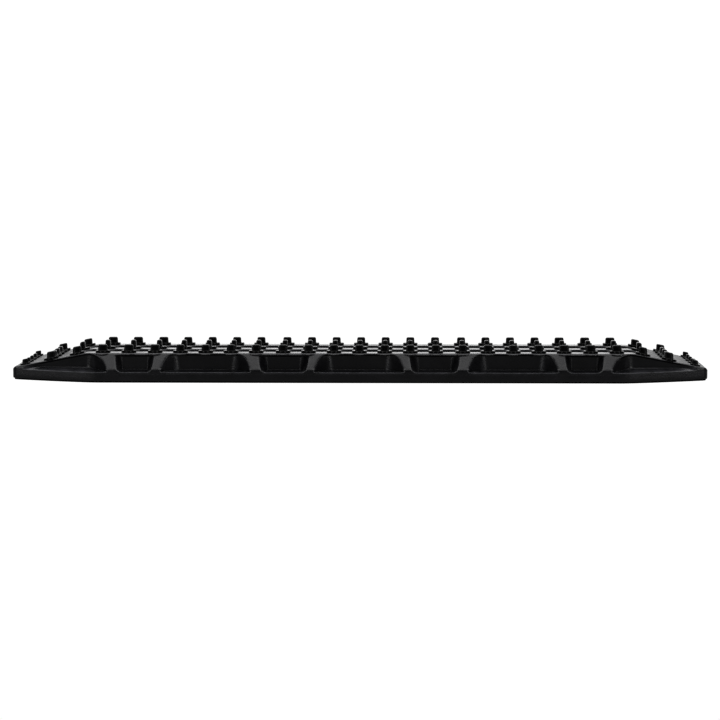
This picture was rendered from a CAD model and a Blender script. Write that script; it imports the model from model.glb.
"""Looks of the stomp pad: a black moulded grip pad with ramped ends and rows of bladed studs.

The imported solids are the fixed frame.  Sizes are written in millimetres and turned into metres
when a mesh is made: +X runs along the pad, +Y across it, +Z up, and the origin is the centre of
the footprint.  The pad is rigid, so every finished piece rides on the root.
"""

import logging
import math
from dataclasses import dataclass, field
from enum import Enum
from typing import ClassVar

import bmesh
import bpy
import numpy as np
from mathutils import Matrix, Vector

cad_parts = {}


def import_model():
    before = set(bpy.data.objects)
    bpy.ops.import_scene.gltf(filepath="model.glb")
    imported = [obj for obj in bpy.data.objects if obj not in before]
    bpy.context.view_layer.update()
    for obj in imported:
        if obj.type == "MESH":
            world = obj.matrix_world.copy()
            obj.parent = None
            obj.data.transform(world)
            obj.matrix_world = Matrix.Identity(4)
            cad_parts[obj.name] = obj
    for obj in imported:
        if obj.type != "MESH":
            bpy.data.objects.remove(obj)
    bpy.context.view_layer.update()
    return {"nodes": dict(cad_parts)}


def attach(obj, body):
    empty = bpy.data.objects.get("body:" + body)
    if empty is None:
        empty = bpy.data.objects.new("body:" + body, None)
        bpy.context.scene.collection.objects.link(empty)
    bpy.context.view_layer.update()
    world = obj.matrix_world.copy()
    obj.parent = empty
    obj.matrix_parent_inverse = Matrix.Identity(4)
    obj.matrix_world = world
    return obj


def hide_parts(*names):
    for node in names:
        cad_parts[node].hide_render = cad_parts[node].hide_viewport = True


LOG = logging.getLogger("stomp_pad")
MM = 0.001
Array = np.ndarray
Colour = tuple[float, float, float]
BLACK: Colour = (0.003, 0.003, 0.0038)
PALE_BLACK: Colour = (0.035, 0.035, 0.039)


class Slot(Enum):
    """Names of the material slots in the part's record."""

    DECK = "deck_rubber"
    TRAY = "tray_nylon"
    SHEET = "adhesive_foam"
    STUD = "stud_nylon"


class Row(Enum):
    """Which way the blade of a stud runs."""

    ALONG = 0.0
    ACROSS = math.pi / 2


@dataclass(frozen=True)
class PocketMouth:
    """Rounds of a pocket's mouth, and the run of the wall behind the upper one, in millimetres."""

    low_round: float
    high_round: float
    corner_run: float = 0.6


@dataclass(frozen=True)
class Pocket:
    """A flared pocket in the sloping side: its place, half widths and mouth, in millimetres."""

    centre: float
    back: float
    sill: float
    top: float
    mouth: PocketMouth
    drop: float = 0.0


@dataclass(frozen=True)
class WedgePocket:
    """The pocket under each ramp, which runs out towards the tip, in millimetres."""

    sill_before: float = 6.7
    flare: float = 2.7
    back_before: float = 1.6
    rise: float = 0.8
    rise_share: float = 0.45
    tip_gap: float = 3.2
    tip_run: float = 4.5
    tip_depth: float = 0.9
    mouth: PocketMouth = PocketMouth(0.9, 3.2, 1.2)


WIDE_MOUTH = PocketMouth(0.9, 2.2)


@dataclass(frozen=True)
class PadShape:
    """The sizes and curves that every piece of the pad shares, in millimetres."""

    half_l: float = 100.0
    half_w: float = 19.4
    row_pitch: float = 13.4
    ridge_half: float = 2.75
    edge_run: float = 3.25
    deck_z: float = 8.25
    flange_z: float = 3.55
    sill_z: float = 3.0
    tray_z: float = 2.4
    sheet_z: float = 0.4
    taper_x: float = 76.0
    taper_slope: float = math.tan(math.radians(10.8))
    tip_lift: float = 0.52
    ramp_x: float = 78.5
    ramp_foot_x: float = 98.8
    ramp_foot_z: float = 4.3
    tip_round: float = 1.0
    corner_r: float = 1.2
    pocket_depth: float = 4.3
    pocket_lip: float = 0.25
    floor_rise: float = 0.4
    channel_depth: float = 1.6
    channel_end_x: float = 80.0
    pad_r: float = 3.35
    pad_skirt: float = 0.5
    pad_overhang: float = 0.25
    side_blend: float = 0.35
    edge_round: float = 0.25
    roof_run: float = 0.4
    channel_wall: float = 0.16
    column_gaps: tuple[float, ...] = (7.3, 7.35, 7.35, 7.75, 7.25, 7.3, 7.3, 7.3, 7.6) + (7.5,) * 4
    first_ramp_column: int = 11
    pockets: tuple[Pocket, ...] = (
        Pocket(0.0, 8.25, 13.4, 11.1, WIDE_MOUTH),
        Pocket(21.65, 5.05, 6.3, 7.55, PocketMouth(1.2, 0.9), 0.3),
        Pocket(44.1, 8.25, 13.4, 11.1, WIDE_MOUTH),
        Pocket(64.55, 4.0, 4.65, 5.75, PocketMouth(1.1, 0.9), 0.3),
    )
    wedge: WedgePocket = WedgePocket()

    @property
    def columns(self) -> list[float]:
        """Distance of each stud column from the middle."""
        return [sum(self.column_gaps[:i]) for i in range(len(self.column_gaps) + 1)]

    @property
    def ramp_slope(self) -> float:
        """Fall of the ramp for each millimetre along it."""
        return (self.deck_z - self.ramp_foot_z) / (self.ramp_foot_x - self.ramp_x)

    def lift(self, x: Array) -> Array:
        """Height that the flange has risen by.

        Args:
            x: Distances along the pad.

        Returns:
            The lift at each distance.
        """
        past = np.maximum(0.0, np.abs(x) - self.taper_x)
        return self.tip_lift * (past / (self.half_l - self.taper_x)) ** 1.5

    def width(self, x: Array, inset: float = 0.0) -> Array:
        """Half width of the footprint, with the taper and the rounded tip corners.

        Args:
            x: Distances along the pad.
            inset: How far the outline is drawn in.

        Returns:
            The half width at each distance.
        """
        far = np.abs(x)
        straight = self.half_w - inset - smooth_max(far - self.taper_x, 0.0 * far, 1.5) * self.taper_slope
        past = np.clip(far - (self.half_l - inset - self.corner_r), 0.0, self.corner_r)
        return straight - (self.corner_r - np.sqrt(self.corner_r ** 2 - past ** 2))

    def top(self, x: Array) -> Array:
        """Level of the deck and its ramps, down round the tip.

        Args:
            x: Distances along the pad.

        Returns:
            The level at each distance.
        """
        far = np.abs(x)
        level = self.deck_z - smooth_max(far - self.ramp_x, 0.0 * far, 0.8) * self.ramp_slope
        past = np.clip(far - (self.half_l - self.tip_round), 0.0, self.tip_round)
        return level - (self.tip_round - np.sqrt(self.tip_round ** 2 - past ** 2))


def smooth_min(a: Array, b: Array, k: float) -> Array:
    """Smaller of two values with a rounded changeover.

    Args:
        a: First values.
        b: Second values.
        k: Width of the changeover.

    Returns:
        The rounded minimum.
    """
    near = np.maximum(k - np.abs(a - b), 0.0) / k
    return np.minimum(a, b) - near * near * k / 4


def smooth_max(a: Array, b: Array, k: float) -> Array:
    """Larger of two values with a rounded changeover.

    Args:
        a: First values.
        b: Second values.
        k: Width of the changeover.

    Returns:
        The rounded maximum.
    """
    return -smooth_min(-a, -b, k)


def loft(name: str, stations: Array, ys: Array, zs: Array,
         marks: dict[str, Array] | None = None) -> bpy.types.Object:
    """Closed skin over half rings that are mirrored across the pad.

    Args:
        name: Name of the finished piece.
        stations: The rings' places along X, in millimetres.
        ys: Half rings from the bottom centre round the side to the top centre, one row a ring.
        zs: Their heights.
        marks: Attributes to store, one value a point of the half rings.

    Returns:
        The piece, at the origin, in metres.
    """
    count, half = ys.shape
    full_y = np.concatenate([ys, -ys[:, -2:0:-1]], axis=1)
    full_z = np.concatenate([zs, zs[:, -2:0:-1]], axis=1)
    ring = full_y.shape[1]
    xs = np.repeat(stations[:, None], ring, axis=1)
    points = np.stack([xs, full_y, full_z], axis=2).reshape(-1, 3) * MM
    i, j = np.meshgrid(np.arange(count - 1), np.arange(ring), indexing="ij")
    k = (j + 1) % ring
    here, onward = i * ring, (i + 1) * ring
    quads = np.stack([here + j, here + k, onward + k, onward + j], axis=2)
    faces = quads.reshape(-1, 4).tolist()
    faces.append(list(range(ring - 1, -1, -1)))
    faces.append([(count - 1) * ring + n for n in range(ring)])
    mesh = bpy.data.meshes.new(name)
    mesh.from_pydata(points.tolist(), [], faces)
    for key, values in (marks or {}).items():
        layer = mesh.attributes.new(key, "FLOAT", "POINT")
        both = np.concatenate([values, values[:, -2:0:-1]], axis=1)
        layer.data.foreach_set("value", both.reshape(-1).astype(np.float32))
    return finished(name, mesh)


def finished(name: str, mesh: bpy.types.Mesh) -> bpy.types.Object:
    """Links a smooth-shaded piece whose normals point outwards.

    Args:
        name: Name of the piece.
        mesh: Its mesh, in metres.

    Returns:
        The linked object.
    """
    bm = bmesh.new()
    bm.from_mesh(mesh)
    bmesh.ops.recalc_face_normals(bm, faces=bm.faces)
    for face in bm.faces:
        face.smooth = len(face.verts) <= 4
    bm.to_mesh(mesh)
    bm.free()
    piece = bpy.data.objects.new(name, mesh)
    bpy.context.scene.collection.objects.link(piece)
    return piece


def spaced(stops: list[tuple[float, float]]) -> Array:
    """Values that run through stops with a step of their own between each pair.

    Args:
        stops: Pairs of a value and the step from it to the next.

    Returns:
        The values in order.
    """
    out = [stops[0][0]]
    for (start, step), (end, _) in zip(stops, stops[1:]):
        count = max(1, round((end - start) / step))
        out += [start + (end - start) * (n + 1) / count for n in range(count)]
    return np.array(out)


def ring_places(end: float, step: float) -> Array:
    """Places of a loft's rings along the pad, close together round the tips.

    Args:
        end: Distance of the last ring from the middle.
        step: Step between rings on the long stretch.

    Returns:
        The places, from one tip to the other.
    """
    half = spaced([(0.0, step), (end - 1.4, 0.15), (end - 0.6, 0.1), (end, 1.0)])
    return np.concatenate([-half[:0:-1], half])


class Graph:
    """A small helper that lays out one material's nodes."""

    def __init__(self, name: str) -> None:
        """Starts an empty node graph.

        Args:
            name: The material's name.
        """
        self.material = bpy.data.materials.new(name)
        self.material.use_nodes = True
        self.tree = self.material.node_tree
        self.tree.nodes.clear()
        self.output = self.node("ShaderNodeOutputMaterial")
        self.place = self.node("ShaderNodeTexCoord").outputs["Object"]

    def node(self, kind: str, inputs: dict[str, object] | None = None,
             **settings: object) -> bpy.types.Node:
        """Adds a node.

        Args:
            kind: The node's type name.
            inputs: Values or sockets for its inputs, by name.
            settings: Properties to set on it.

        Returns:
            The new node.
        """
        made = self.tree.nodes.new(kind)
        for key, value in settings.items():
            setattr(made, key, value)
        for key, value in (inputs or {}).items():
            if isinstance(value, bpy.types.NodeSocket):
                self.tree.links.new(value, made.inputs[key])
            else:
                made.inputs[key].default_value = value
        return made

    def noise(self, size: float, detail: float = 3.0, rough: float = 0.5) -> bpy.types.NodeSocket:
        """Noise on Object coordinates.

        Args:
            size: Size of one blotch, in metres.
            detail: Octaves of finer noise.
            rough: Strength of the finer octaves.

        Returns:
            Its grey value.
        """
        made = self.node("ShaderNodeTexNoise", {"Vector": self.place, "Scale": 1.0 / size, "Detail": detail,
                                                "Roughness": rough})
        return made.outputs["Fac"]

    def cells(self, size: float) -> bpy.types.NodeSocket:
        """Rounded cells on Object coordinates.

        Args:
            size: Size of one cell, in metres.

        Returns:
            Distance to the nearest cell centre.
        """
        inputs = {"Vector": self.place, "Scale": 1.0 / size}
        return self.node("ShaderNodeTexVoronoi", inputs, feature="SMOOTH_F1").outputs["Distance"]

    def spread(self, value: bpy.types.NodeSocket, low: float, high: float,
               span: tuple[float, float] = (0.3, 0.7)) -> bpy.types.NodeSocket:
        """Maps a grey value onto a range.

        Args:
            value: The grey value.
            low: Result at the low end.
            high: Result at the high end.
            span: The part of the input that is used.

        Returns:
            The mapped value.
        """
        made = self.node("ShaderNodeMapRange", {"Value": value, "From Min": span[0], "From Max": span[1],
                                                "To Min": low, "To Max": high})
        return made.outputs["Result"]

    def sum(self, a: object, b: object, operation: str = "ADD") -> bpy.types.NodeSocket:
        """Combines two values.

        Args:
            a: First value or socket.
            b: Second value or socket.
            operation: Math node operation.

        Returns:
            The result.
        """
        made = self.tree.nodes.new("ShaderNodeMath")
        made.operation = operation
        for index, value in enumerate((a, b)):
            if isinstance(value, bpy.types.NodeSocket):
                self.tree.links.new(value, made.inputs[index])
            else:
                made.inputs[index].default_value = value
        return made.outputs[0]

    def mix(self, factor: bpy.types.NodeSocket, a: object, b: object) -> bpy.types.NodeSocket:
        """Mixes two colours.

        Args:
            factor: How much of the second.
            a: First colour or socket.
            b: Second colour or socket.

        Returns:
            The mixed colour.
        """
        made = self.node("ShaderNodeMix", data_type="RGBA")
        self.tree.links.new(factor, made.inputs[0])
        for index, value in ((6, a), (7, b)):
            if isinstance(value, bpy.types.NodeSocket):
                self.tree.links.new(value, made.inputs[index])
            else:
                made.inputs[index].default_value = value
        return made.outputs[2]


@dataclass(frozen=True)
class MouldedFinish:
    """A black moulded rubber or plastic: fine grain, faint flow marks, dust and rubbed edges."""

    name: str
    colour: Colour
    dust: Colour
    rough: tuple[float, float] = (0.27, 0.37)
    grain_size: float = 0.32 * MM
    grain_depth: float = 0.012 * MM
    dust_share: float = 0.25
    specular: float = 0.3
    ramp_rough: float = 0.16

    def material(self) -> bpy.types.Material:
        """Builds the material.

        Returns:
            The finished material.
        """
        g = Graph(self.name)
        flow = g.noise(14.0 * MM, 4.0, 0.6)
        patch = g.noise(3.2 * MM, 3.0, 0.55)
        fine = g.noise(self.grain_size, 3.0, 0.6)
        pits = g.cells(self.grain_size * 1.7)
        rub = g.node("ShaderNodeAttribute", attribute_name="rub").outputs["Fac"]
        shade = g.mix(g.spread(patch, 0.0, 1.0), (*[c * 0.78 for c in self.colour], 1.0),
                      (*[c * 1.25 for c in self.colour], 1.0))
        dust = g.spread(flow, 0.0, self.dust_share, (0.5, 0.75))
        dusty = g.sum(dust, g.spread(fine, 0.0, 1.0), "MULTIPLY")
        worn = g.sum(rub, g.spread(patch, 0.2, 0.8), "MULTIPLY")
        pale = g.node("ShaderNodeClamp", {"Value": g.sum(dusty, worn)}).outputs[0]
        tint = g.mix(pale, shade, (*self.dust, 1.0))
        coarse = g.node("ShaderNodeAttribute", attribute_name="coarse").outputs["Fac"]
        rough = g.sum(g.spread(patch, self.rough[0], self.rough[1]), g.spread(fine, -0.05, 0.05))
        rough = g.sum(rough, g.sum(coarse, self.ramp_rough, "MULTIPLY"))
        height = g.sum(g.sum(fine, 0.7, "MULTIPLY"), g.sum(pits, 0.5, "MULTIPLY"))
        bump = g.node("ShaderNodeBump", {"Strength": 1.0, "Distance": self.grain_depth, "Height": height})
        shader = g.node("ShaderNodeBsdfPrincipled", {"Base Color": tint, "Roughness": rough,
                                                     "Normal": bump.outputs[0]})
        shader.inputs["IOR"].default_value = 1.46
        shader.inputs["Specular IOR Level"].default_value = self.specular
        g.tree.links.new(shader.outputs[0], g.output.inputs[0])
        return g.material


@dataclass(frozen=True)
class GlowFinish:
    """An evenly lit pale surface of the stage."""

    name: str
    strength: float

    def material(self) -> bpy.types.Material:
        """Builds the material.

        Returns:
            The finished material.
        """
        g = Graph(self.name)
        glow = g.node("ShaderNodeEmission", {"Color": (1.0, 1.0, 1.0, 1.0), "Strength": self.strength})
        g.tree.links.new(glow.outputs[0], g.output.inputs[0])
        return g.material


@dataclass
class GripDeck:
    """The deck: ramps, ridges and channels on top, flared pockets down its sloping sides."""

    shape: PadShape
    step: float = 0.36
    piece: bpy.types.Object | None = None
    FLANGE_ROWS: ClassVar[tuple[float, ...]] = (0.0, 0.05, 0.45, 0.65, 0.82, 0.93)

    @staticmethod
    def corner(a: Array, b: Array, r: float, run_a: Array, run_b: Array) -> Array:
        """Share inside a rounded corner between two walls.

        Args:
            a: Distance in from the first wall's edge.
            b: Distance in from the second wall's edge.
            r: Radius of the corner.
            run_a: Distance that the first wall takes to reach the back.
            run_b: Distance that the second wall takes to reach the back.

        Returns:
            The share at each point.
        """
        u, v = np.maximum(r - a, 0.0), np.maximum(r - b, 0.0)
        gone = np.hypot(u, v)
        lean = np.where(gone > 1e-6, v / np.maximum(gone, 1e-6), 0.5) ** 2
        inside = (r - gone) / (run_a * (1 - lean) + run_b * lean)
        return np.where((u > 0) & (v > 0), inside, 9.0)

    def cavity(self, mouth: PocketMouth, a: Array, b: Array, c: Array, reach: Array, rise: Array) -> Array:
        """Share inside one pocket, from the distances to its three kinds of wall.

        Args:
            mouth: The rounds of the pocket's mouth.
            a: Distance in from its end.
            b: Distance down from its roof.
            c: Distance up from its sill.
            reach: Distance that the end wall takes to reach the back.
            rise: Distance that the floor takes to reach the back.

        Returns:
            The share at each point.
        """
        roof_run = self.shape.roof_run + 0.0 * c
        high = self.corner(a, b, mouth.high_round, mouth.corner_run + 0.0 * c, roof_run)
        here = smooth_min(high, a / reach, 0.12)
        here = smooth_min(here, self.corner(a, c, mouth.low_round, reach, rise), 0.3)
        return smooth_min(here, np.minimum(b / roof_run, c / rise), 0.2)

    def pocket_share(self, x: Array, z: Array, sill: Array, top: Array) -> Array:
        """How far towards the back wall the side has gone in: 0 outside a pocket, 1 at its back.

        Args:
            x: Distances along the pad.
            z: Heights.
            sill: Level of the pockets' outer floor edge.
            top: Level of the deck edge.

        Returns:
            The share at each point.
        """
        s = self.shape
        far, height = np.abs(x), top - sill
        rise = s.floor_rise * height / (s.deck_z - s.sill_z)
        share = np.full(z.shape, -1.0)
        for p in s.pockets:
            roof = top - s.pocket_lip - p.drop
            up = np.clip((z - sill) / (roof - sill), 0.0, 1.0)
            side = p.sill + (p.top - p.sill) * up
            end = side - np.abs(far - p.centre)
            share = np.maximum(share, self.cavity(p.mouth, end, roof - z, z - sill, side - p.back, rise))
        w = s.wedge
        roof = top - s.pocket_lip
        up = np.clip((z - sill) / (roof - sill), 0.0, 1.0)
        start = s.ramp_x - w.sill_before + w.flare * up
        rise = np.minimum(w.rise, w.rise_share * height) + 0.0 * z
        reach = s.ramp_x - w.back_before - start
        here = self.cavity(w.mouth, far - start, roof - z, z - sill, reach, rise)
        return np.maximum(share, smooth_min(here, (s.half_l - w.tip_gap - far) / w.tip_run, 0.3))

    def plain_side(self, x: Array, z: Array) -> Array:
        """Half width of the side where it has no pocket.

        Args:
            x: Distances along the pad.
            z: Heights.

        Returns:
            The half width at each point.
        """
        s = self.shape
        slope = s.edge_run / (s.deck_z - s.flange_z)
        return s.width(x) - smooth_max(z - s.flange_z - s.lift(x), 0.0 * z, s.side_blend) * slope

    def pad_reach(self, x: Array) -> Array:
        """How far across the outer row of round stud pads reaches.

        Args:
            x: Distances along the pad.

        Returns:
            The half width of the pad at each distance, 0 between the pads.
        """
        s = self.shape
        reach = np.zeros_like(x)
        for column in s.columns[:s.first_ramp_column]:
            off = np.abs(np.abs(x) - column)
            out = s.row_pitch + np.sqrt(np.maximum(s.pad_r ** 2 - off ** 2, 0.0))
            reach = np.maximum(reach, np.where(off < s.pad_r, out, 0.0))
        return reach

    def pads(self, x: Array, y: Array) -> Array:
        """Distance out from the nearest round stud pad.

        Args:
            x: Distances along the pad.
            y: Distances across it.

        Returns:
            The distance, negative inside a round.
        """
        s = self.shape
        away = np.full(np.broadcast(x, y).shape, 99.0)
        for column in s.columns[:s.first_ramp_column]:
            for row in (0.0, s.row_pitch):
                away = np.minimum(away, np.hypot(np.abs(x) - column, np.abs(y) - row) - s.pad_r)
        return away

    def side_rows(self, x: Array) -> tuple[Array, Array, Array]:
        """The side of each half ring, from the tray up to just under the deck edge.

        Args:
            x: The rings' places, as a column.

        Returns:
            Half widths, heights and pocket shares.
        """
        s = self.shape
        lift, top = s.lift(x), s.top(x)
        under, sill = s.tray_z + lift, s.sill_z + lift
        steps = [(0.0, 0.06), (0.48, 0.14), (0.9, 0.42), (3.8, 0.2), (4.2, 0.085), (4.95, 1.0)]
        high_rows = spaced(steps) / (s.deck_z - s.sill_z - s.edge_round)
        low = under + (sill - under) * np.array(self.FLANGE_ROWS)
        high = sill + (top - s.edge_round - sill) * high_rows
        z = np.concatenate([low, high], axis=1)
        plain = self.plain_side(x, z)
        share = self.pocket_share(x + 0.0 * z, z, sill + 0.0 * z, top + 0.0 * z)
        into = smooth_max(smooth_min(share, 1.0 + 0.0 * share, 0.28), 0.0 * share, 0.07)
        ends = np.clip((np.abs(x) - s.ramp_x) / (s.half_l - 4.6 - s.ramp_x), 0.0, 1.0)
        depth = s.pocket_depth - (s.pocket_depth - s.wedge.tip_depth) * ends
        y = plain - (plain - (s.width(x) - depth)) * into
        skirt = np.clip((z - (top - s.pad_skirt - 0.2)) / 0.2, 0.0, 1.0)
        pad = np.minimum(self.pad_reach(x), plain + s.pad_overhang)
        return y + skirt * np.maximum(pad - y, 0.0), z, share

    def top_rows(self, x: Array, edge: Array) -> tuple[Array, Array, Array]:
        """The top of each half ring, from the centre line out to just inside the deck edge.

        Args:
            x: The rings' places, as a column.
            edge: Half width of the deck edge.

        Returns:
            Distances across, heights, and how far inside a channel each point is.
        """
        s = self.shape
        fixed, last = 11.2, 15.85
        inner_steps = [(0.0, 1.3), (2.6, 0.075), (3.5, 1.6), (9.9, 0.075), (10.8, 1.2)]
        across = spaced(inner_steps + [(15.5, 0.3), (last, 1.0)])
        squeeze = (edge - 0.3 - fixed) / (last - fixed)
        y = np.where(across > fixed, fixed + (across - fixed) * squeeze, across + 0.0 * x)
        open_side = smooth_min(np.abs(y) - s.ridge_half, s.row_pitch - s.ridge_half - np.abs(y), 0.3)
        hollow = smooth_min(open_side, self.pads(x, y), 0.2)
        hollow = smooth_min(hollow, s.channel_end_x - np.abs(x) + 0.0 * y, 0.3)
        sunk = smooth_max(smooth_min(hollow / s.channel_wall, 1.0 + 0.0 * hollow, 0.25), 0.0 * hollow, 0.2)
        top = s.top(x)
        fallen = s.deck_z - np.minimum(top, s.deck_z)
        return y, top - np.maximum(0.0, s.channel_depth * sunk - fallen) * (sunk > 0), hollow

    def side_rub(self, x: Array, z: Array, share: Array) -> Array:
        """How rubbed the side is: its mouth edges, sills, back corners and the wedges' floors.

        Args:
            x: The rings' places, as a column.
            z: Heights.
            share: Pocket shares.

        Returns:
            The rub at each point.
        """
        s = self.shape
        far, sill = np.abs(x), s.sill_z + s.lift(x)
        near_sill = np.exp(-((z - sill) / 0.28) ** 2)
        rub = np.exp(-(share / 0.06) ** 2) * (share > -0.2) * (0.15 + 0.85 * near_sill)
        first = len(self.FLANGE_ROWS)
        opened = np.clip(share[:, first:first + 6].max(axis=1, keepdims=True) / 0.4, 0.0, 1.0)
        rub = np.maximum(rub, 1.4 * opened * near_sill * (z < sill + 0.02))
        below_roof = np.clip((s.top(x) - 0.8 - z) / 0.4, 0.0, 1.0)
        back_corner = np.exp(-((share - 0.92) / 0.13) ** 2) * below_roof
        rub = rub + 0.55 * back_corner * np.clip((s.ramp_x + 6.0 - far) / 6.0, 0.0, 1.0)
        wedge_floor = np.clip((far - s.ramp_x + 3.0) / 4.0, 0.0, 1.0) * (share > 0.02)
        return rub + 0.7 * wedge_floor * np.clip((sill + s.wedge.rise - z) / 0.25, 0.0, 1.0)

    def build(self) -> None:
        """Lofts the deck from half rings along the pad."""
        s = self.shape
        stations = ring_places(s.half_l, self.step)
        x = stations[:, None]
        y_side, z_side, share = self.side_rows(x)
        plain_edge = self.plain_side(x, s.top(x))
        edge = np.maximum(plain_edge, np.minimum(self.pad_reach(x), plain_edge + s.pad_overhang))
        y_top, z_top, hollow = self.top_rows(x, edge)

        turn = np.array([0.25, 0.5, 0.75])
        weights = (1 - turn) ** 2, 2 * turn * (1 - turn), turn ** 2
        y_round = y_side[:, -1:] * weights[0] + edge * weights[1] + y_top[:, -1:] * weights[2]
        z_round = z_side[:, -1:] * weights[0] + s.top(x) * weights[1] + z_top[:, -1:] * weights[2]
        wide, under = s.width(x), s.tray_z + s.lift(x)
        y_low = np.concatenate([0.0 * wide, wide - 0.6, wide - 0.03], axis=1)
        ys = np.concatenate([y_low, y_side, y_round, y_top[:, ::-1]], axis=1)
        zs = np.concatenate([under + 0.0 * y_low, z_side, z_round, z_top[:, ::-1]], axis=1)

        ridge = 0.35 * np.exp(-(hollow / 0.12) ** 2)
        rub = [0.0 * y_low, self.side_rub(x, z_side, share), 0.35 + 0.0 * y_round, ridge[:, ::-1]]
        on_ramp = np.clip((np.abs(x) - s.ramp_x) / 1.5, 0.0, 1.0)
        coarse = [0.0 * y_low, 0.0 * y_side, 0.0 * y_round, on_ramp + 0.0 * y_top]
        marks = {"rub": np.concatenate(rub, axis=1), "coarse": np.concatenate(coarse, axis=1)}
        self.piece = loft("grip_deck_body", stations, ys, zs, marks)

    def dress(self) -> None:
        """Puts on the rubber and hides the plain solid."""
        self.piece.data.materials.append(MouldedFinish(Slot.DECK.value, BLACK, PALE_BLACK).material())
        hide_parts("grip_deck")
        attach(self.piece, "root")


@dataclass
class BaseTray:
    """The flanged tray under the deck, rounded along its lower edge and at its toes."""

    shape: PadShape
    toe_round: float = 0.35
    piece: bpy.types.Object | None = None

    def build(self) -> None:
        """Lofts the tray."""
        s = self.shape
        x = ring_places(s.half_l, 1.5)[:, None]
        lift, wide = s.lift(x), s.width(x)
        past = np.clip(np.abs(x) - (s.half_l - self.toe_round), 0.0, self.toe_round)
        down = s.sheet_z + lift + self.toe_round - np.sqrt(self.toe_round ** 2 - past ** 2)
        up = s.tray_z + lift
        offsets = ((1.0, 0.0), (0.32, 0.0), (0.2, 0.02), (0.09, 0.08), (0.02, 0.18), (0.0, 0.3))
        ys = [0.0 * wide, wide * 0.5] + [wide - inset for inset, _ in offsets]
        zs = [down, down] + [down + rise for _, rise in offsets]
        ys += [wide, wide, wide, wide - 0.03, wide - 1.0, 0.0 * wide]
        zs += [(down + up) / 2 + 0.1, up - 0.03, up, up, up, up]
        self.piece = loft("base_tray_body", x[:, 0], np.concatenate(ys, axis=1), np.concatenate(zs, axis=1))

    def dress(self) -> None:
        """Puts on the nylon and hides the plain solid."""
        self.piece.data.materials.append(MouldedFinish(Slot.TRAY.value, BLACK, PALE_BLACK).material())
        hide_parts("base_tray")
        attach(self.piece, "root")


@dataclass
class AdhesiveSheet:
    """The thin foam sheet that sticks the pad down."""

    shape: PadShape
    inset: float = 0.4
    piece: bpy.types.Object | None = None

    def build(self) -> None:
        """Lofts the sheet."""
        s = self.shape
        x = ring_places(s.half_l - self.inset, 1.5)[:, None]
        lift, wide = s.lift(x), s.width(x, self.inset)
        middle, half_way = 0.0 * wide, wide * 0.5
        ys = [middle, half_way, wide - 0.1, wide - 0.02, wide + 0.03, wide - 0.02, half_way, middle]
        zs = [lift + up for up in (0.0, 0.0, 0.0, 0.06, 0.2, 0.34, s.sheet_z, s.sheet_z)]
        ys, zs = np.concatenate(ys, axis=1), np.concatenate(zs, axis=1)
        self.piece = loft("adhesive_sheet_body", x[:, 0], ys, zs)

    def dress(self) -> None:
        """Puts on the foam and hides the plain solid."""
        foam = MouldedFinish(Slot.SHEET.value, (0.0012, 0.0012, 0.0012), (0.004, 0.004, 0.004),
                             rough=(0.8, 0.95), grain_size=0.5 * MM, grain_depth=0.03 * MM,
                             dust_share=0.3, specular=0.0)
        self.piece.data.materials.append(foam.material())
        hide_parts("adhesive_sheet")
        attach(self.piece, "root")


@dataclass(frozen=True)
class StudKind:
    """One stud shape: its blade, the way that it runs, and the ramp that its top follows."""

    name: str
    width: float
    height: float
    row: Row
    lean: int


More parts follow.
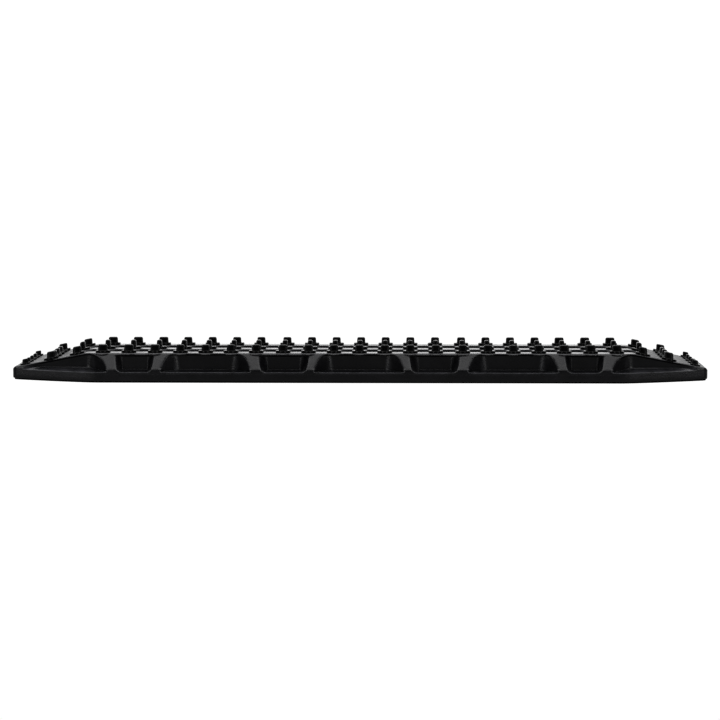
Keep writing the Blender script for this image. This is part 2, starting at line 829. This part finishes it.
@dataclass
class StudField:
    """Every stud on the deck and the ramps: a rounded blade on a round foot."""

    shape: PadShape
    foot_r: float = 2.13
    foot_h: float = 0.64
    blade_w: float = 2.4
    blade_w_wide: float = 2.7
    blade_d: float = 1.5
    blade_h: float = 2.3
    mid_blade_h: float = 2.55
    ramp_blade_h: float = 2.0
    end_scale: float = 0.68
    wide_columns: tuple[int, ...] = (8, 9, 10)
    turn_jitter: float = 0.02
    seed: int = 3
    nodes: list[str] = field(default_factory=list)
    finish: bpy.types.Material | None = None
    piece: bpy.types.Object | None = None

    def blade(self, kind: StudKind) -> bpy.types.Mesh:
        """One upright stud on the origin, in millimetres, its foot and top sloped with its ramp.

        Args:
            kind: Which stud it is.

        Returns:
            Its mesh.
        """
        bm = bmesh.new()
        width, height = kind.width, kind.height
        r, h = self.foot_r, self.foot_h
        turns, foot_edge, top_edge = 28, 0.14, 0.42
        profile = [(r, -0.12), (r, 0.0), (r, h - foot_edge)]
        profile += [(r - foot_edge + foot_edge * math.cos(a), h - foot_edge + foot_edge * math.sin(a))
                    for a in (math.radians(30), math.radians(60), math.radians(90))]
        round_foot = [2 * math.pi * n / turns for n in range(turns)]
        rings = [[bm.verts.new((q * math.cos(a), q * math.sin(a), z)) for a in round_foot]
                 for q, z in profile]
        self.skin(bm, rings)
        shoulder = height - h - top_edge
        levels = [(0.0, 0.1), (0.1, 0.03), (0.22, 0.0), (shoulder, -0.05)]
        levels += [(shoulder + top_edge * math.sin(a), -0.05 - top_edge * (1 - math.cos(a)))
                   for a in (math.radians(25), math.radians(50), math.radians(72), math.radians(90))]
        rings = []
        for z, grow in levels:
            w, d = width / 2 + grow, self.blade_d / 2 + grow
            q = max(0.05, min(w, d, 0.45 + grow * 0.6))
            ring = []
            near, deep = w - q, d - q
            corners = ((near, deep, 0), (-near, deep, 90), (-near, -deep, 180), (near, -deep, 270))
            for cx, cy, start in corners:
                for part in range(5):
                    a = math.radians(start + part * 22.5)
                    ring.append(bm.verts.new((cx + q * math.cos(a), cy + q * math.sin(a), h - 0.02 + z)))
            rings.append(ring)
        self.skin(bm, rings)
        mesh = bpy.data.meshes.new("stud_" + kind.name)
        bmesh.ops.recalc_face_normals(bm, faces=bm.faces)
        bm.to_mesh(mesh)
        bm.free()
        slope = Matrix.Identity(4)
        slope[2][0] = -kind.lean * self.shape.ramp_slope
        mesh.transform(slope @ Matrix.Rotation(kind.row.value, 4, "Z"))
        return mesh

    @staticmethod
    def skin(bm: bmesh.types.BMesh, rings: list[list[bmesh.types.BMVert]]) -> None:
        """Closes a stack of equal rings.

        Args:
            bm: The mesh being built.
            rings: Rings from the bottom upwards.
        """
        count = len(rings[0])
        for low, high in zip(rings, rings[1:]):
            for n in range(count):
                bm.faces.new((low[n], low[(n + 1) % count], high[(n + 1) % count], high[n]))
        bm.faces.new(list(reversed(rings[0])))
        bm.faces.new(rings[-1])

    def places(self) -> dict[StudKind, list[Matrix]]:
        """Where the studs of each kind stand.

        Returns:
            Placements of every kind, in metres.
        """
        s = self.shape
        out = {}
        for index, column in enumerate(s.columns):
            on_ramp, crowded = index >= s.first_ramp_column, index > s.first_ramp_column
            z = s.deck_z - (column - s.ramp_x) * s.ramp_slope if on_ramp else s.deck_z
            size = self.end_scale if index == len(s.columns) - 1 else 1.0
            outer = self.blade_w_wide if index in self.wide_columns else self.blade_w
            for side in ((1,) if index == 0 else (-1, 1)):
                lean = side if on_ramp else 0
                ending = {-1: "_left", 0: "", 1: "_right"}[lean]
                for row in (-1, -0.5, 0, 0.5, 1) if crowded else (-1, 0, 1):
                    if abs(row) == 1:
                        name = "wide" if index in self.wide_columns else "outer"
                        kind = StudKind(name + ending, outer, self.blade_h, Row.ALONG, lean)
                    else:
                        name, tall = ("ramp", self.ramp_blade_h) if crowded else ("mid", self.mid_blade_h)
                        kind = StudKind(name + ending, self.blade_w, tall, Row.ACROSS, lean)
                    spot = Vector((side * column, row * s.row_pitch, z)) * MM
                    out.setdefault(kind, []).append(Matrix.Translation(spot) @ Matrix.Scale(size * MM, 4))
        return out

    def standing(self, name: str) -> bpy.types.NodeTree:
        """Geometry Nodes that stand one stud on every point of a mesh.

        Args:
            name: Name of the node group.

        Returns:
            The group, with the inputs Stud, Turn Jitter and Seed.
        """
        tree = bpy.data.node_groups.new(name, "GeometryNodeTree")
        sockets = {"Geometry": "Geometry", "Stud": "Object", "Turn Jitter": "Float", "Seed": "Int"}
        for label, kind in sockets.items():
            tree.interface.new_socket(label, in_out="INPUT", socket_type="NodeSocket" + kind)
        tree.interface.new_socket("Geometry", in_out="OUTPUT", socket_type="NodeSocketGeometry")
        new, link = tree.nodes.new, tree.links.new
        start, end = new("NodeGroupInput"), new("NodeGroupOutput")
        info, sized = new("GeometryNodeObjectInfo"), new("GeometryNodeInputNamedAttribute")
        link(start.outputs["Stud"], info.inputs["Object"])
        sized.data_type = "FLOAT"
        sized.inputs["Name"].default_value = "size"
        shake, scaled = new("FunctionNodeRandomValue"), new("ShaderNodeMath")
        spin = new("ShaderNodeCombineXYZ")
        shake.data_type, scaled.operation = "FLOAT", "MULTIPLY"
        shake.inputs[2].default_value, shake.inputs[3].default_value = -1.0, 1.0
        link(start.outputs["Seed"], shake.inputs["Seed"])
        link(shake.outputs[1], scaled.inputs[0])
        link(start.outputs["Turn Jitter"], scaled.inputs[1])
        link(scaled.outputs[0], spin.inputs["Z"])
        points, stand = new("GeometryNodeMeshToPoints"), new("GeometryNodeInstanceOnPoints")
        link(start.outputs["Geometry"], points.inputs["Mesh"])
        link(points.outputs[0], stand.inputs["Points"])
        link(info.outputs["Geometry"], stand.inputs["Instance"])
        link(spin.outputs[0], stand.inputs["Rotation"])
        link(sized.outputs["Attribute"], stand.inputs["Scale"])
        real, cover = new("GeometryNodeRealizeInstances"), new("GeometryNodeSetMaterial")
        cover.inputs["Material"].default_value = self.finish
        link(stand.outputs[0], real.inputs[0])
        link(real.outputs[0], cover.inputs["Geometry"])
        link(cover.outputs[0], end.inputs[0])
        return tree

    def scatter(self, kind: str, stud: bpy.types.Mesh, spots: list[Matrix]) -> bpy.types.Mesh:
        """Stands copies of one stud on their spots.

        Args:
            kind: Which stud it is.
            stud: The stud's mesh, in millimetres.
            spots: Placements, in metres.

        Returns:
            One mesh with every copy.
        """
        source = bpy.data.objects.new("stud_" + kind, stud)
        holder = bpy.data.meshes.new("spots_" + kind)
        holder.from_pydata([m.translation for m in spots], [], [])
        size = holder.attributes.new("size", "FLOAT", "POINT")
        size.data.foreach_set("value", [m.to_scale().x for m in spots])
        host = bpy.data.objects.new("host_" + kind, holder)
        bpy.context.scene.collection.objects.link(host)
        modifier = host.modifiers.new("stand", "NODES")
        modifier.node_group = self.standing("stand_studs_" + kind)
        values = {"Stud": source, "Turn Jitter": self.turn_jitter, "Seed": self.seed}
        for socket in modifier.node_group.interface.items_tree:
            if socket.in_out == "INPUT" and socket.name in values:
                modifier[socket.identifier] = values[socket.name]
        graph = bpy.context.evaluated_depsgraph_get()
        made = bpy.data.meshes.new_from_object(host.evaluated_get(graph), depsgraph=graph)
        bpy.data.objects.remove(host)
        bpy.data.objects.remove(source)
        return made

    def build(self) -> None:
        """Stands every stud and joins them into one piece."""
        nylon = MouldedFinish(Slot.STUD.value, (0.001, 0.001, 0.0011), (0.012, 0.012, 0.012),
                              rough=(0.24, 0.32), grain_size=0.3 * MM, grain_depth=0.008 * MM,
                              dust_share=0.2, specular=0.14)
        self.finish = nylon.material()
        whole = bmesh.new()
        for kind, spots in self.places().items():
            whole.from_mesh(self.scatter(kind.name, self.blade(kind), spots))
        mesh = bpy.data.meshes.new("stud_field")
        whole.to_mesh(mesh)
        whole.free()
        self.piece = finished("stud_field", mesh)

    def dress(self) -> None:
        """Puts on the nylon and hides the plain solids."""
        self.piece.data.materials.append(self.finish)
        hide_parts(*self.nodes)
        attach(self.piece, "root")


@dataclass
class Studio:
    """The plain pale floor and backdrop, the soft light and the camera."""

    reach: float = 0.7466
    height: float = 0.07396
    aside: float = 0.0150
    lens: float = 131.2
    half_width: float = 0.0194
    aim: Vector = field(default_factory=lambda: Vector((-0.00009, 0.0, 0.00491)))

    def plane(self, name: str, corners: list[tuple[float, float, float]], glow: float) -> None:
        """Lays one evenly lit surface of the stage.

        Args:
            name: Its name.
            corners: Four corners in metres.
            glow: Its brightness.
        """
        mesh = bpy.data.meshes.new(name)
        mesh.from_pydata(corners, [], [(0, 1, 2, 3)])
        made = bpy.data.objects.new(name, mesh)
        bpy.context.scene.collection.objects.link(made)
        made.data.materials.append(GlowFinish(name + "_glow", glow).material())

    def stage(self) -> None:
        """Lays the floor and stands the backdrop."""
        z = -1e-5
        self.plane("floor", [(-4, -2.5, z), (4, -2.5, z), (4, 2.0, z), (-4, 2.0, z)], 1.02)
        self.plane("backdrop", [(-4, 2.0, z), (4, 2.0, z), (4, 2.0, 3.0), (-4, 2.0, 3.0)], 2.15)

    def soft_box(self, name: str, place: tuple[float, float, float], size: tuple[float, float],
                 power: float) -> None:
        """Hangs one soft light that faces the pad.

        Args:
            name: Its name.
            place: Where it hangs, in metres.
            size: Its width and height.
            power: Its brightness in watts.
        """
        data = bpy.data.lights.new(name, "AREA")
        data.shape, data.size, data.size_y, data.energy = "RECTANGLE", size[0], size[1], power
        lamp = bpy.data.objects.new(name, data)
        lamp.location = place
        lamp.rotation_mode = "QUATERNION"
        lamp.rotation_quaternion = (-Vector(place)).to_track_quat("-Z", "Y")
        bpy.context.scene.collection.objects.link(lamp)

    def light(self) -> None:
        """Sets a dim surround, a broad overhead box and two side strips."""
        world = bpy.data.worlds.new("surround")
        world.use_nodes = True
        world.node_tree.nodes["Background"].inputs[0].default_value = (1.0, 1.0, 1.0, 1.0)
        world.node_tree.nodes["Background"].inputs[1].default_value = 0.06
        bpy.context.scene.world = world
        self.soft_box("overhead", (0.0, -0.1, 1.3), (2.2, 1.5), 70.0)
        self.soft_box("strip_left", (-0.55, -0.8, 0.3), (0.2, 0.6), 5.0)
        self.soft_box("strip_right", (0.55, -0.8, 0.3), (0.2, 0.6), 5.0)

    def camera(self) -> None:
        """Places the camera a few degrees above the deck, looking along +Y."""
        data = bpy.data.cameras.new("camera")
        data.lens = self.lens
        data.sensor_width = 36.0
        data.clip_start, data.clip_end = 0.01, 50.0
        camera = bpy.data.objects.new("camera", data)
        bpy.context.scene.collection.objects.link(camera)
        camera.location = (self.aside, -self.half_width - self.reach, self.height)
        camera.rotation_mode = "QUATERNION"
        camera.rotation_quaternion = (self.aim - camera.location).to_track_quat("-Z", "Y")
        bpy.context.scene.camera = camera

    def colour_management(self) -> None:
        """Keeps plain tones, so the white surround stays white."""
        bpy.context.scene.view_settings.view_transform = "Standard"
        bpy.context.scene.view_settings.gamma = 0.68


def main() -> None:
    """Builds the pad and the stage in order."""
    logging.basicConfig(level=logging.INFO, format="%(message)s")
    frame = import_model()
    shape = PadShape()
    studs = sorted(name for name in frame["nodes"] if name.startswith("studs_"))
    for part in (GripDeck(shape), BaseTray(shape), AdhesiveSheet(shape), StudField(shape, nodes=studs)):
        part.build()
        part.dress()
        LOG.info("%s: %d faces", part.piece.name, len(part.piece.data.polygons))
    studio = Studio()
    studio.stage()
    studio.light()
    studio.camera()
    studio.colour_management()


if __name__ == "__main__":
    main()
